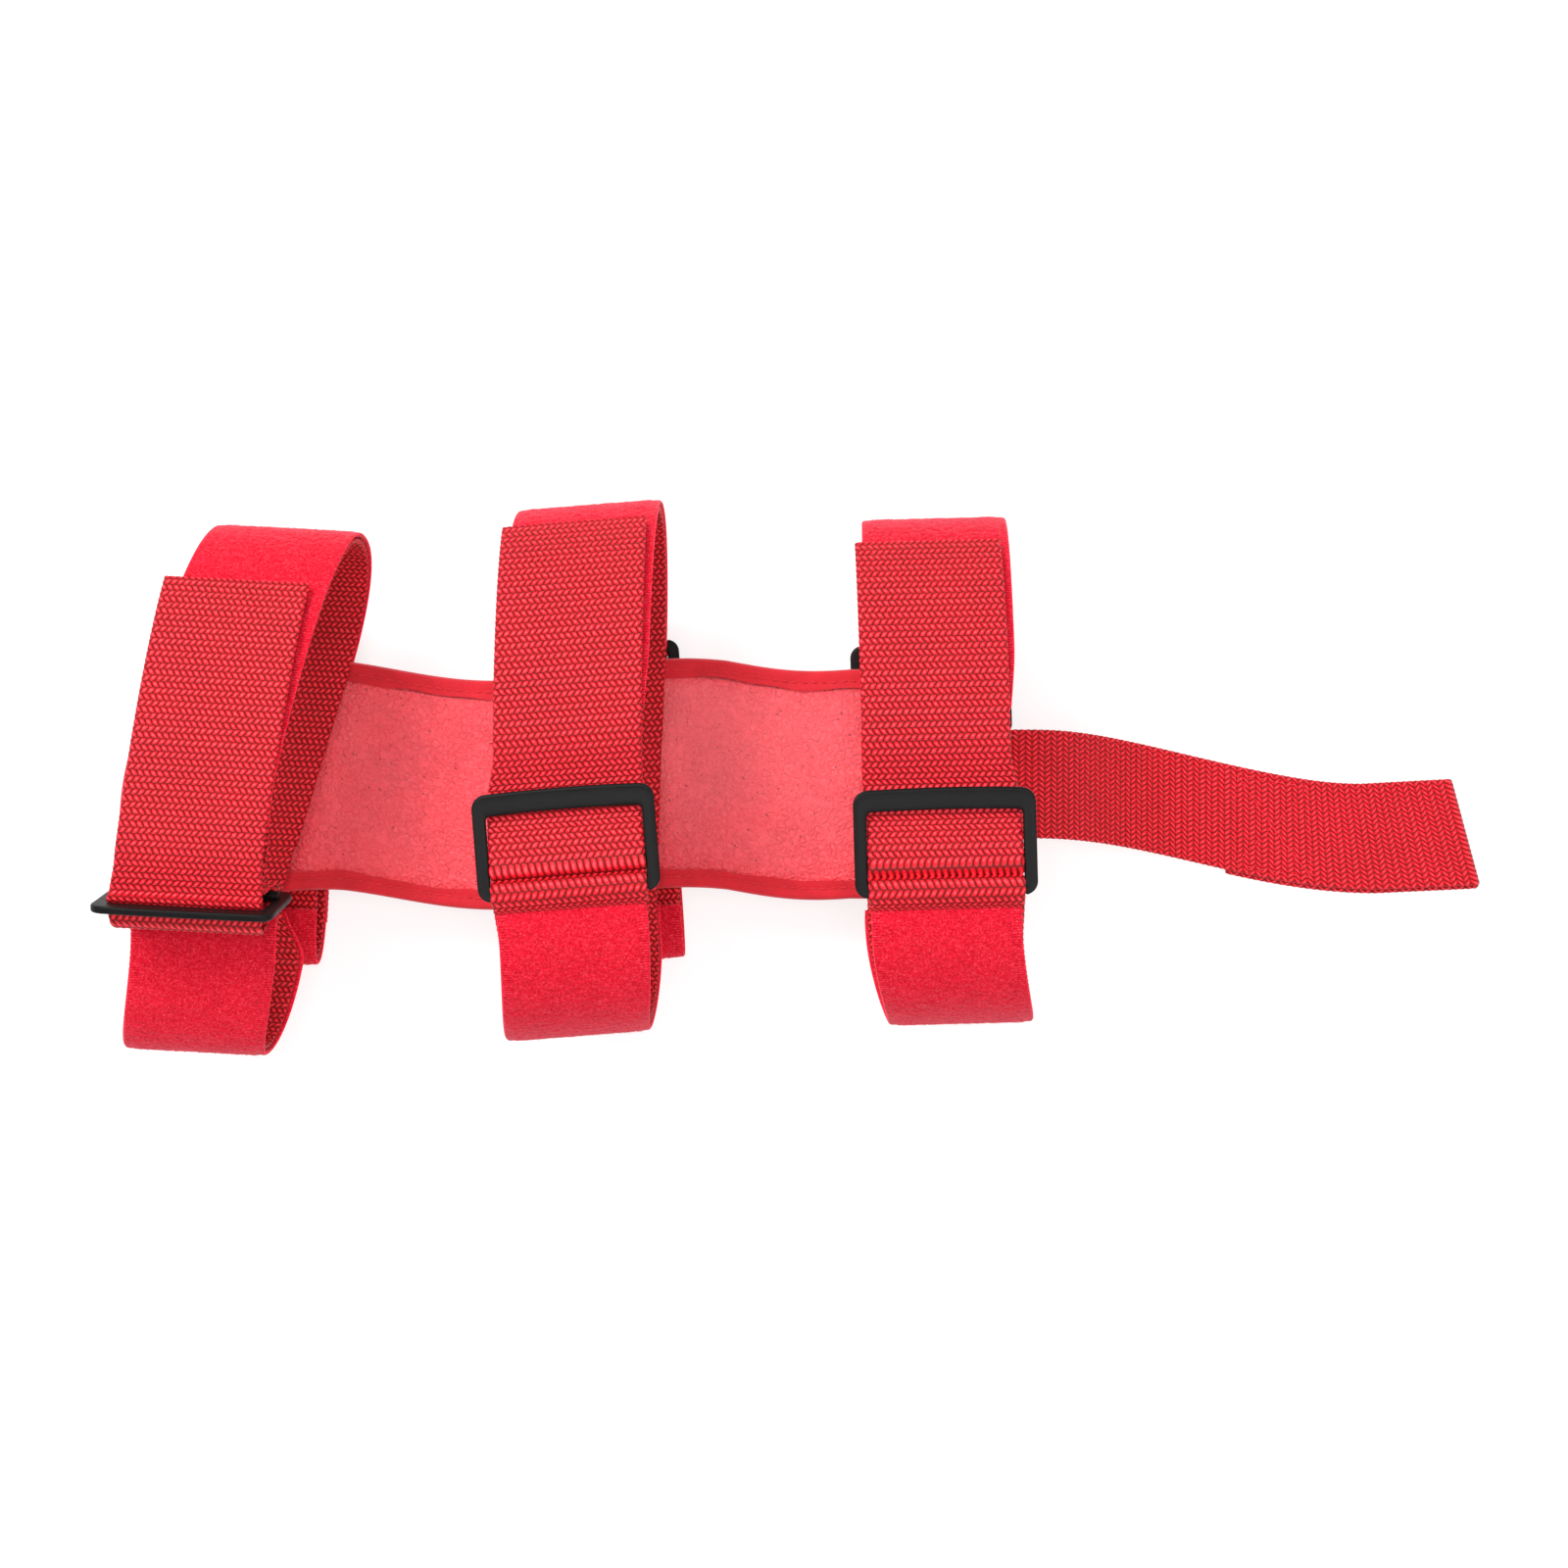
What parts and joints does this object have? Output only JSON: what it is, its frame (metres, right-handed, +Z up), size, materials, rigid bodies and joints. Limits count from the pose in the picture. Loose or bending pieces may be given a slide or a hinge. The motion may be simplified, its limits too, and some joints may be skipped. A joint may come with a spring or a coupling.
{
  "type": "strap-on bottle holder with three double loops",
  "caption": "Bound leatherette panel with adjustable hook-and-loop webbing loops on both sides, black three-bar slides and a sewn pull strap at one end.",
  "frame": {"origin": "the middle of the seat: the inner face of the middle front loop where it is sewn down on the panel's centre line", "axes": "+X along the panel towards the pull strap, +Y across the panel, +Z up out of the panel's front, on which the open loops stand"},
  "size_m": [0.4896, 0.1948, 0.1174],
  "materials": {
    "webbing": "matte",
    "pile": "matte",
    "hook": "matte",
    "leatherette": "satin",
    "padding": "matte",
    "lining": "matte",
    "binding": "matte",
    "plastic": "matte"
  },
  "bodies": {
    "panel": {"panel_face": "leatherette", "panel_padding": "padding", "panel_lining": "lining", "edge_binding": "binding", "neck_strap_root": "webbing", "front_left_loop_webbing": "webbing", "front_left_pile_upper": "pile", "front_left_pile_lower": "pile", "front_middle_loop_webbing": "webbing", "front_middle_pile_upper": "pile", "front_middle_pile_lower": "pile", "front_right_loop_webbing": "webbing", "front_right_pile_upper": "pile", "front_right_pile_lower": "pile", "rear_left_loop_webbing": "webbing", "rear_left_pile_upper": "pile", "rear_left_pile_lower": "pile", "rear_middle_loop_webbing": "webbing", "rear_middle_pile_upper": "pile", "rear_middle_pile_lower": "pile", "rear_right_loop_webbing": "webbing", "rear_right_pile_upper": "pile", "rear_right_pile_lower": "pile"},
    "neck_strap": {"neck_strap_loop": "webbing"},
    "front_left_slide": {"front_left_slide": "plastic", "front_left_fold_webbing": "webbing"},
    "front_left_tail": {"front_left_tail_webbing": "webbing", "front_left_tail_hook": "hook"},
    "front_middle_slide": {"front_middle_slide": "plastic", "front_middle_fold_webbing": "webbing"},
    "front_middle_tail": {"front_middle_tail_webbing": "webbing", "front_middle_tail_hook": "hook"},
    "front_right_slide": {"front_right_slide": "plastic", "front_right_fold_webbing": "webbing"},
    "front_right_tail": {"front_right_tail_webbing": "webbing", "front_right_tail_hook": "hook"},
    "rear_left_slide": {"rear_left_slide": "plastic", "rear_left_fold_webbing": "webbing"},
    "rear_left_tail": {"rear_left_tail_webbing": "webbing", "rear_left_tail_hook": "hook"},
    "rear_middle_slide": {"rear_middle_slide": "plastic", "rear_middle_fold_webbing": "webbing"},
    "rear_middle_tail": {"rear_middle_tail_webbing": "webbing", "rear_middle_tail_hook": "hook"},
    "rear_right_slide": {"rear_right_slide": "plastic", "rear_right_fold_webbing": "webbing"},
    "rear_right_tail": {"rear_right_tail_webbing": "webbing", "rear_right_tail_hook": "hook"}
  },
  "joints": [
    {"name": "neck_strap_lift", "type": "hinge", "parent": "panel", "child": "neck_strap", "pos_m": [0.1573, 0, -0.0052], "axis": [0, -1, 0], "range_deg": [0, 90]},
    {"name": "front_left_slide_swing", "type": "hinge", "parent": "panel", "child": "front_left_slide", "pos_m": [-0.12643, -0.03685, 0.05115], "axis": [0.9986, -0.0523, 0], "range_deg": [0, 12]},
    {"name": "front_left_tail_peel", "type": "hinge", "parent": "panel", "child": "front_left_tail", "pos_m": [-0.12565, -0.02199, 0.0796], "axis": [0.9986, -0.0523, 0], "range_deg": [0, 90]},
    {"name": "front_middle_slide_swing", "type": "hinge", "parent": "panel", "child": "front_middle_slide", "pos_m": [0.0007, -0.03429, 0.0802], "axis": [0.9969, 0.0785, 0], "range_deg": [0, 20]},
    {"name": "front_middle_tail_peel", "type": "hinge", "parent": "panel", "child": "front_middle_tail", "pos_m": [-0.00318, 0.01505, 0.082], "axis": [0.9969, 0.0785, 0], "range_deg": [0, 90]},
    {"name": "front_right_slide_swing", "type": "hinge", "parent": "panel", "child": "front_right_slide", "pos_m": [0.1243, -0.03439, 0.0802], "axis": [0.9997, 0.0262, 0], "range_deg": [0, 20]},
    {"name": "front_right_tail_peel", "type": "hinge", "parent": "panel", "child": "front_right_tail", "pos_m": [0.123, 0.01509, 0.082], "axis": [0.9997, 0.0262, 0], "range_deg": [0, 90]},
    {"name": "rear_left_slide_swing", "type": "hinge", "parent": "panel", "child": "rear_left_slide", "pos_m": [-0.12038, 0.04993, -0.0282], "axis": [0.9986, -0.0523, 0], "range_deg": [0, 20]},
    {"name": "rear_left_tail_peel", "type": "hinge", "parent": "panel", "child": "rear_left_tail", "pos_m": [-0.12297, 0.0005, -0.03], "axis": [0.9986, -0.0523, 0], "range_deg": [0, 70]},
    {"name": "rear_middle_slide_swing", "type": "hinge", "parent": "panel", "child": "rear_middle_slide", "pos_m": [0.00151, 0.04988, -0.0282], "axis": [0.9976, 0.0698, 0], "range_deg": [0, 20]},
    {"name": "rear_middle_tail_peel", "type": "hinge", "parent": "panel", "child": "rear_middle_tail", "pos_m": [0.00497, 0.0005, -0.03], "axis": [0.9976, 0.0698, 0], "range_deg": [0, 70]},
    {"name": "rear_right_slide_swing", "type": "hinge", "parent": "panel", "child": "rear_right_slide", "pos_m": [0.12582, 0.04998, -0.0282], "axis": [0.9996, 0.0297, 0], "range_deg": [0, 20]},
    {"name": "rear_right_tail_peel", "type": "hinge", "parent": "panel", "child": "rear_right_tail", "pos_m": [0.12729, 0.0005, -0.03], "axis": [0.9996, 0.0297, 0], "range_deg": [0, 70]}
  ]
}
